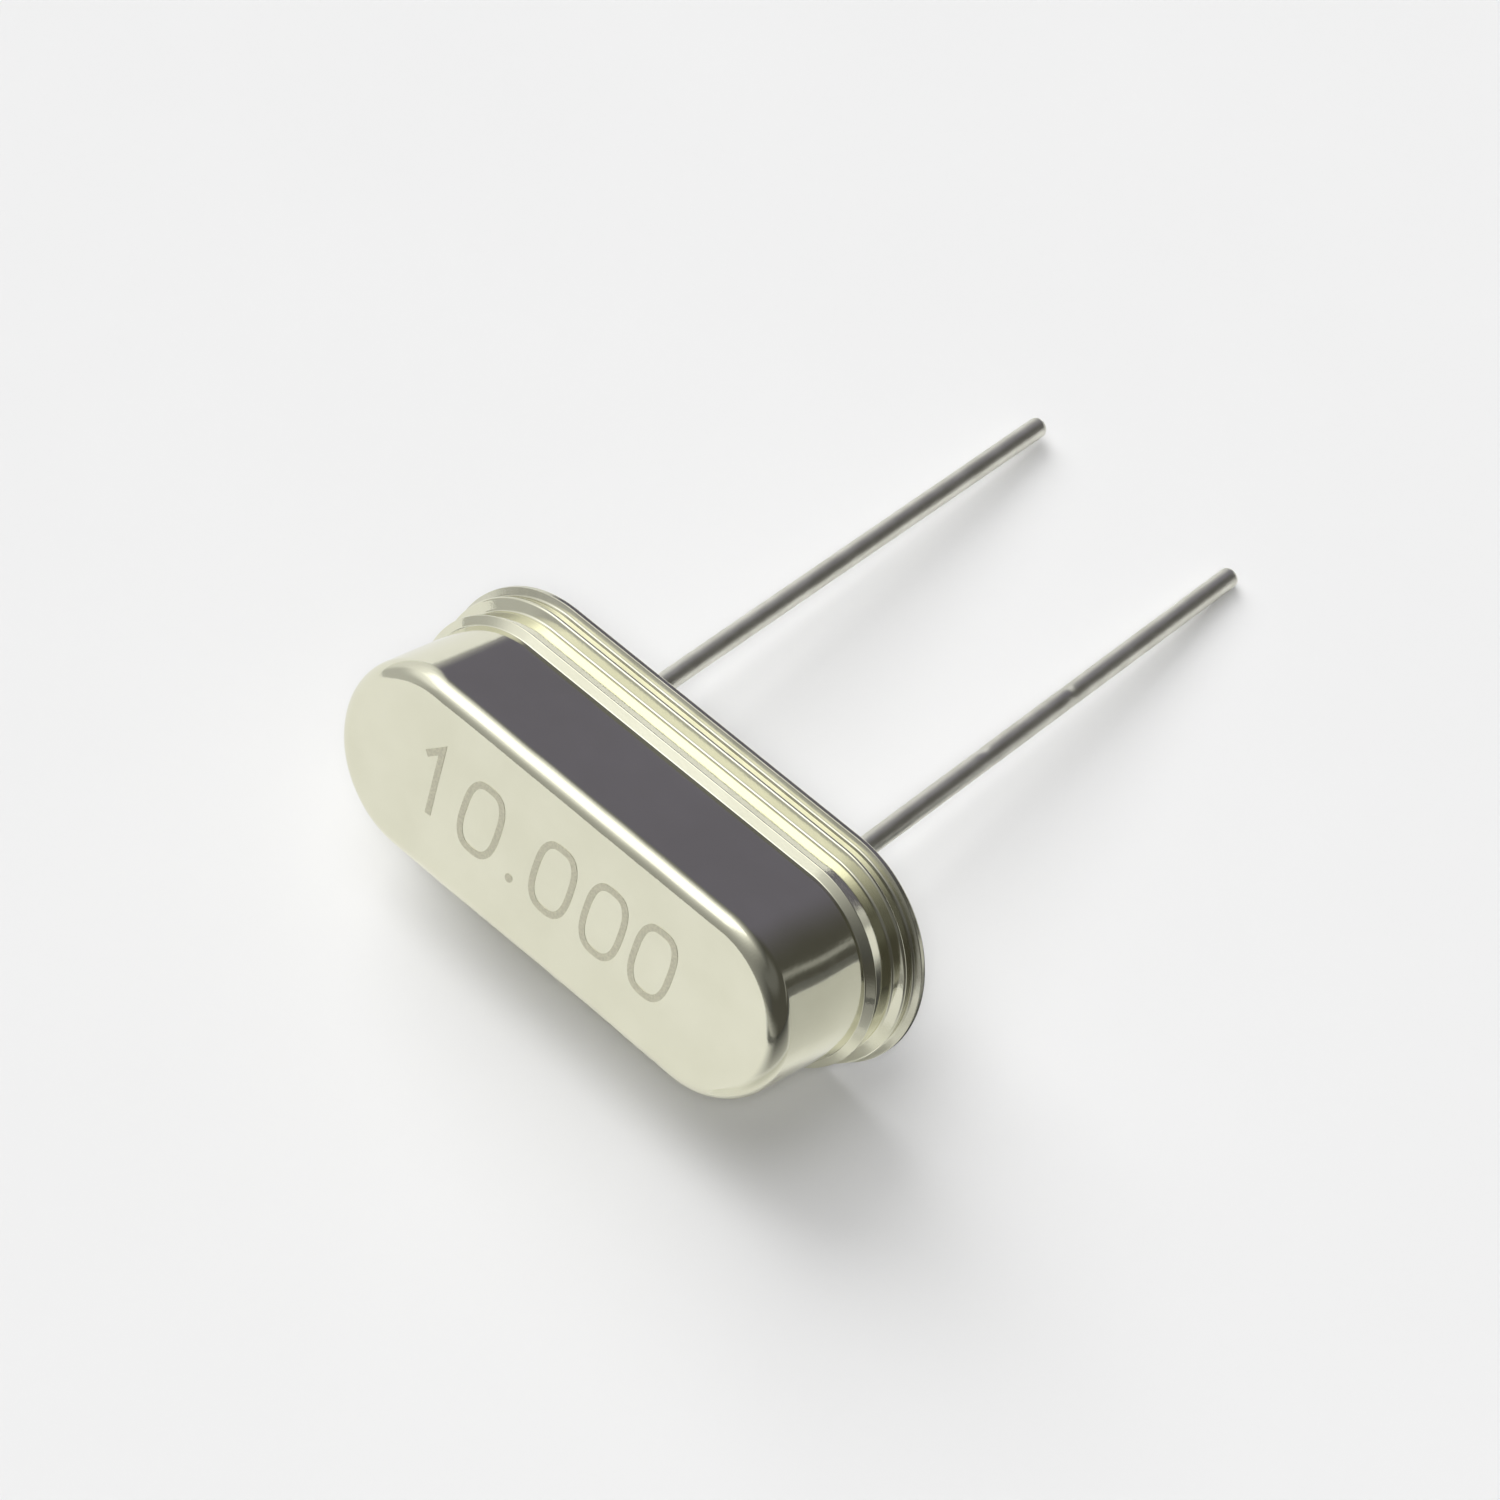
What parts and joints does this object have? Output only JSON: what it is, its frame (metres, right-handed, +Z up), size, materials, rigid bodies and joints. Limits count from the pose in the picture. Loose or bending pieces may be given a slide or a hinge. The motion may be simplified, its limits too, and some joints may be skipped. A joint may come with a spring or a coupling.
{
  "type": "crystal oscillator",
  "caption": "Low-profile quartz crystal unit: a drawn metal can with round ends, welded to a flanged base, with wire leads through glass seals.",
  "frame": {"origin": "centre of the footprint's box, on the surface it lies on", "axes": "+Z up; +Y from the can's flat top towards the tips of the leads; X along the can's length"},
  "size_m": [0.011, 0.0152, 0.0049],
  "materials": {
    "can_nickel": "gloss",
    "header_nickel": "satin",
    "seal_glass": "gloss",
    "lead_tin": "satin",
    "spring_metal": "satin",
    "quartz": "polished",
    "silver_film": "satin",
    "silver_adhesive": "matte"
  },
  "bodies": {
    "root": {"can": "can_nickel", "base": "header_nickel", "glass_seal_left": "seal_glass", "glass_seal_right": "seal_glass", "lead_left": "lead_tin", "lead_right": "lead_tin", "clip_left": "spring_metal", "clip_right": "spring_metal", "quartz_blank": "quartz", "electrode_top": "silver_film", "electrode_bottom": "silver_film", "adhesive_left": "silver_adhesive", "adhesive_right": "silver_adhesive"}
  },
  "joints": []
}
